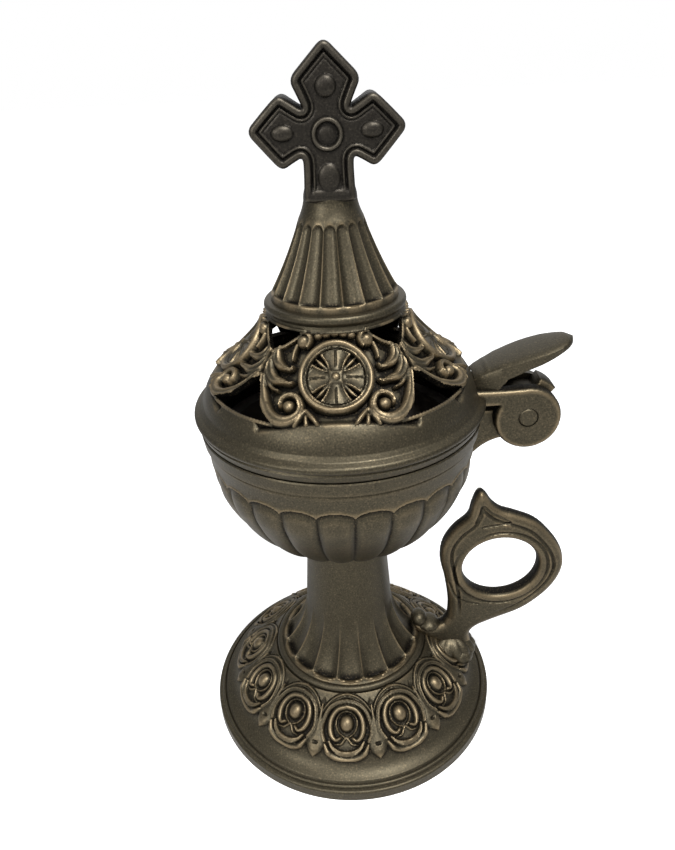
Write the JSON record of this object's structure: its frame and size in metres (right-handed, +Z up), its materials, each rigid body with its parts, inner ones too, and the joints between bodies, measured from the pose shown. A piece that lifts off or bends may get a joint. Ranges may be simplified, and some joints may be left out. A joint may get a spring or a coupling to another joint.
{
  "type": "thymiaterion",
  "caption": "Cast hand and table censer: fluted foot with finger ring, lobed bowl with charcoal cup, pierced hinged lid with thumb lever, fluted spire and cross.",
  "frame": {"origin": "on the foot's axis, in the plane of the foot's lower rim that the object stands on", "axes": "+Z up along the foot's axis; +X towards the hinge, thumb lever and finger ring; the hinge pin lies along Y"},
  "size_m": [0.0995, 0.08, 0.1702],
  "materials": {
    "cast_bronze": "antique bronze metallic paint on a casting, satin",
    "cross_dark": "darker antique bronze metallic paint, satin",
    "pin_bronze": "antique bronze metallic paint over the pin's end",
    "cup_sheet": "pressed steel sheet, slightly browned by heat",
    "fixings_steel": "zinc-plated steel"
  },
  "bodies": {
    "stand": {"foot": "cast_bronze", "ring_handle": "cast_bronze", "handle_screws": "fixings_steel", "bowl": "cast_bronze", "charcoal_cup": "cup_sheet", "stem_screw": "fixings_steel", "stem_washer": "fixings_steel", "stem_nut": "fixings_steel"},
    "lid": {"lid": "cast_bronze", "thumb_lever": "cast_bronze", "lever_screw": "fixings_steel", "hinge_pin": "pin_bronze", "spire": "cast_bronze", "spire_screw": "fixings_steel", "spire_washer": "fixings_steel", "cross": "cross_dark"}
  },
  "joints": [
    {"name": "lid_hinge", "type": "hinge", "parent": "stand", "child": "lid", "pos_m": [0.0443, 0, 0.09], "axis": [0, 1, 0], "range_deg": [0, 70]}
  ]
}
